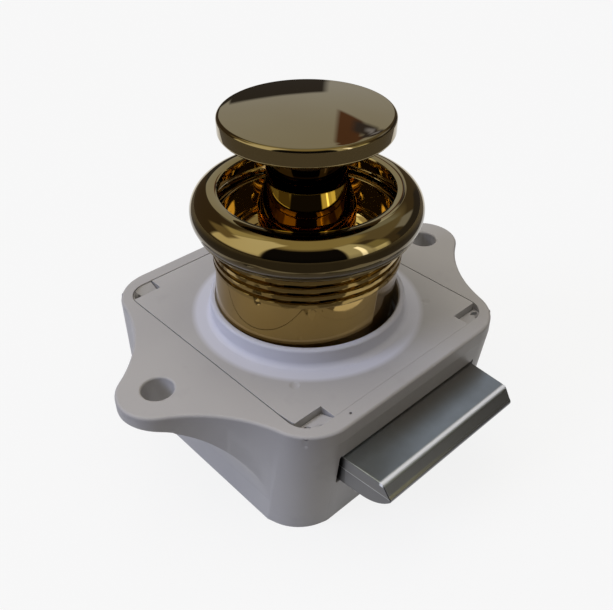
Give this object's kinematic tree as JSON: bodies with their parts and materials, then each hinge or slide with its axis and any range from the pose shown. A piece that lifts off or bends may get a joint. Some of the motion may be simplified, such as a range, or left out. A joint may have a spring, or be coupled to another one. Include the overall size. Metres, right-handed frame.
{
  "type": "push button cabinet lock",
  "caption": "Rim lock for cabinet doors: eared plastic case with a sprung slam bolt, and a brass push-push knob in a threaded barrel with a screw-on rosette.",
  "frame": {"origin": "on the knob's axis, in the plane of the mounting face that lies on the back of the door; midway between the two ear holes", "axes": "+Z out through the door along the knob, +X the way the bolt points, the two ears along -Y and +Y"},
  "size_m": [0.0476, 0.0582, 0.0452],
  "materials": {
    "case_plastic": "fine moulded satin",
    "cover_plastic": "fine moulded satin",
    "brass": "polished",
    "zinc_cast": "die-cast, lightly polished",
    "zinc_plate": "plain stamped",
    "spring_steel": "bright drawn",
    "screw_steel": "bright plated",
    "dark_acetal": "smooth"
  },
  "bodies": {
    "case": {"housing": "case_plastic", "cover": "cover_plastic", "retainer_plate": "zinc_plate", "barrel": "brass", "barrel_clip": "spring_steel", "cam_plate": "zinc_plate", "knob_spring": "spring_steel", "guide_rod_left": "screw_steel", "guide_rod_right": "screw_steel", "bolt_spring_left": "spring_steel", "bolt_spring_right": "spring_steel"},
    "knob": {"knob": "brass", "stop_ring": "spring_steel", "plunger": "dark_acetal", "blocker": "spring_steel", "plunger_screw": "screw_steel", "follower_pin": "screw_steel"},
    "follower": {"follower": "spring_steel"},
    "bolt": {"latch_bolt": "zinc_cast"},
    "rosette": {"rosette": "brass"}
  },
  "joints": [
    {"name": "knob_push", "type": "slide", "parent": "case", "child": "knob", "axis": [0, 0, -1], "range_m": [0, 0.0094], "stiffness_N_per_m": 500, "springref_m": -0.004, "deforming": ["knob_spring"]},
    {"name": "bolt_slide", "type": "slide", "parent": "case", "child": "bolt", "axis": [-1, 0, 0], "range_m": [0, 0.0064], "stiffness_N_per_m": 300, "springref_m": -0.003, "deforming": ["bolt_spring_left", "bolt_spring_right"]},
    {"name": "rosette_travel", "type": "slide", "parent": "case", "child": "rosette", "axis": [0, 0, 1], "range_m": [-0.0024, 0.0006]},
    {"name": "follower_swing", "type": "hinge", "parent": "knob", "child": "follower", "pos_m": [-0.0075, 0, 0.0001], "axis": [1, 0, 0], "range_deg": [0, 30]}
  ],
  "couplings": [
    {"joint": "follower_swing", "follows": "knob_push", "rad_per_m": 55.7}
  ]
}
